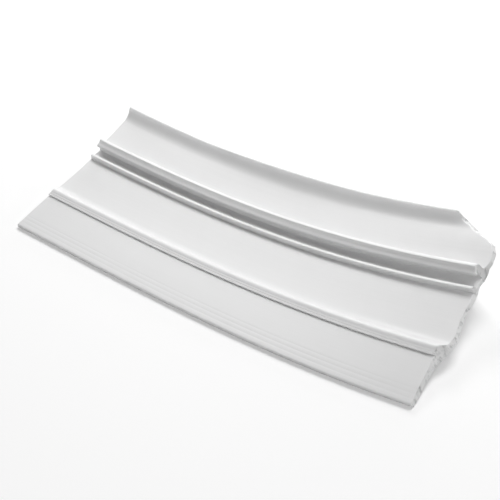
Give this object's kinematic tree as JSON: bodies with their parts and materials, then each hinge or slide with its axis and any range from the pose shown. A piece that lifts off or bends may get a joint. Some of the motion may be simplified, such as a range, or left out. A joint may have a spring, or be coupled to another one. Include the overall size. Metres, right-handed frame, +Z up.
{
  "type": "flexible trim profile",
  "caption": "Short length of flexible extruded PVC trim with a flat front band, a ridge, a hooked clip channel and an upturned rear lip, bowed and sawn off at one end.",
  "frame": {"origin": "on the floor, under the middle of the strip's bounding box", "axes": "+X along the strip from the square end to the sawn end, +Y from the flat front band to the upturned lip, +Z up"},
  "size_m": [0.2378, 0.1082, 0.0304],
  "materials": {
    "pvc_white": "satin white flexible PVC with fine extrusion lines"
  },
  "bodies": {
    "root": {"trim_profile": "pvc_white"}
  },
  "joints": []
}
